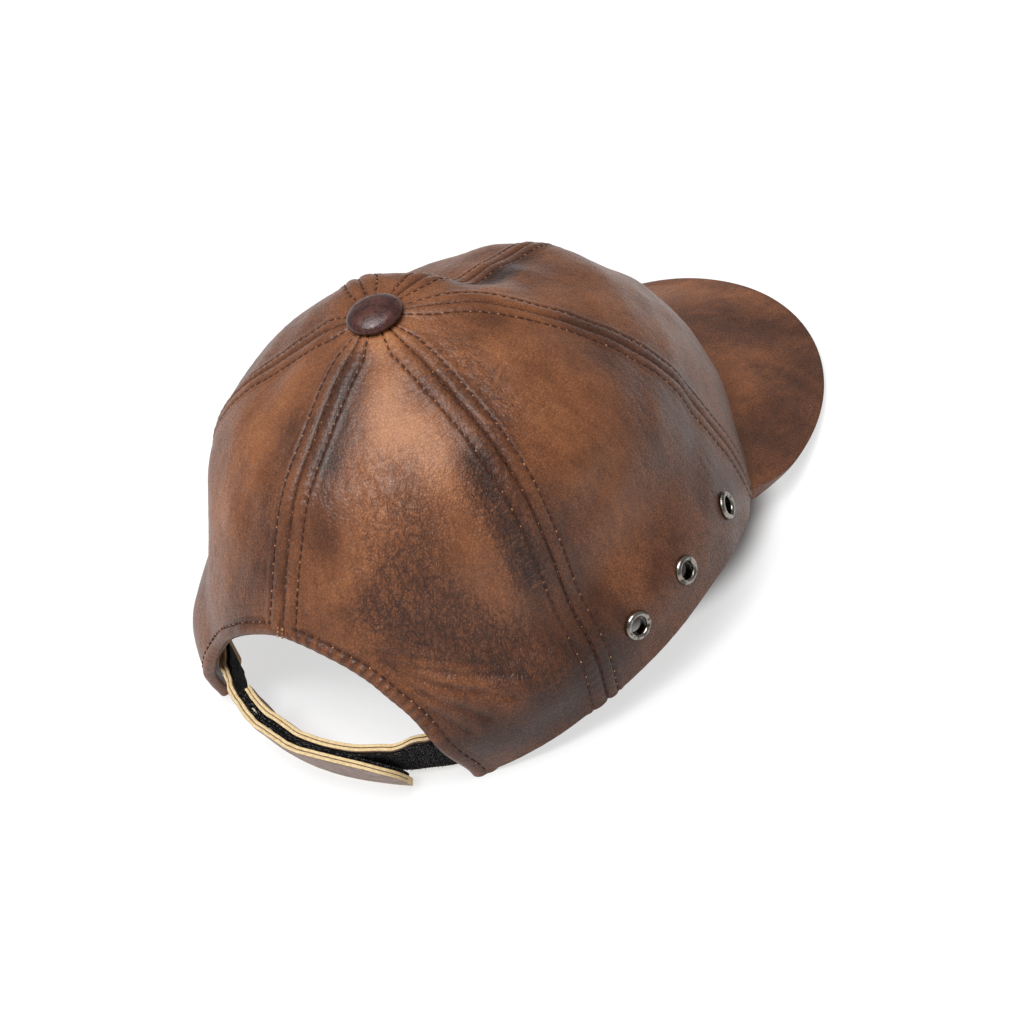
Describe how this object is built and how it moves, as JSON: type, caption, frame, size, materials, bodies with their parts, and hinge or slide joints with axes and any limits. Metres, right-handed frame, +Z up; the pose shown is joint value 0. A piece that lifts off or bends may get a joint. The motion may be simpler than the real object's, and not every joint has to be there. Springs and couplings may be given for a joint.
{
  "type": "leather baseball cap",
  "caption": "Worn brown leather baseball cap with sewn panels, a curved peak, a covered button, side eyelets and a hook-and-loop strap at the back.",
  "frame": {"origin": "on the surface that the cap rests on, under the middle of its overall box", "axes": "+Z up, -Y the way the peak points, -X the wearer's right side"},
  "size_m": [0.1804, 0.282, 0.1201],
  "materials": {
    "leather": "worn, waxed, soft sheen, brown with orange lights and dark smudges",
    "button_leather": "dark brown, smooth, glossy",
    "strap_leather": "grey brown face with raw tan edges",
    "tape": "black fuzzy hook-and-loop tape",
    "eyelet_metal": "dark nickel, polished and worn"
  },
  "bodies": {
    "root": {"panel_back_right": "leather", "panel_side_right": "leather", "panel_front_right": "leather", "panel_front_left": "leather", "panel_side_left": "leather", "panel_back_left": "leather", "peak": "leather", "button": "button_leather", "eyelet_right_1": "eyelet_metal", "eyelet_right_2": "eyelet_metal", "eyelet_right_3": "eyelet_metal", "eyelet_left_1": "eyelet_metal", "eyelet_left_2": "eyelet_metal", "eyelet_left_3": "eyelet_metal", "strap_outer": "strap_leather", "strap_outer_tape": "tape", "strap_inner": "strap_leather", "strap_inner_tape": "tape"}
  },
  "joints": []
}
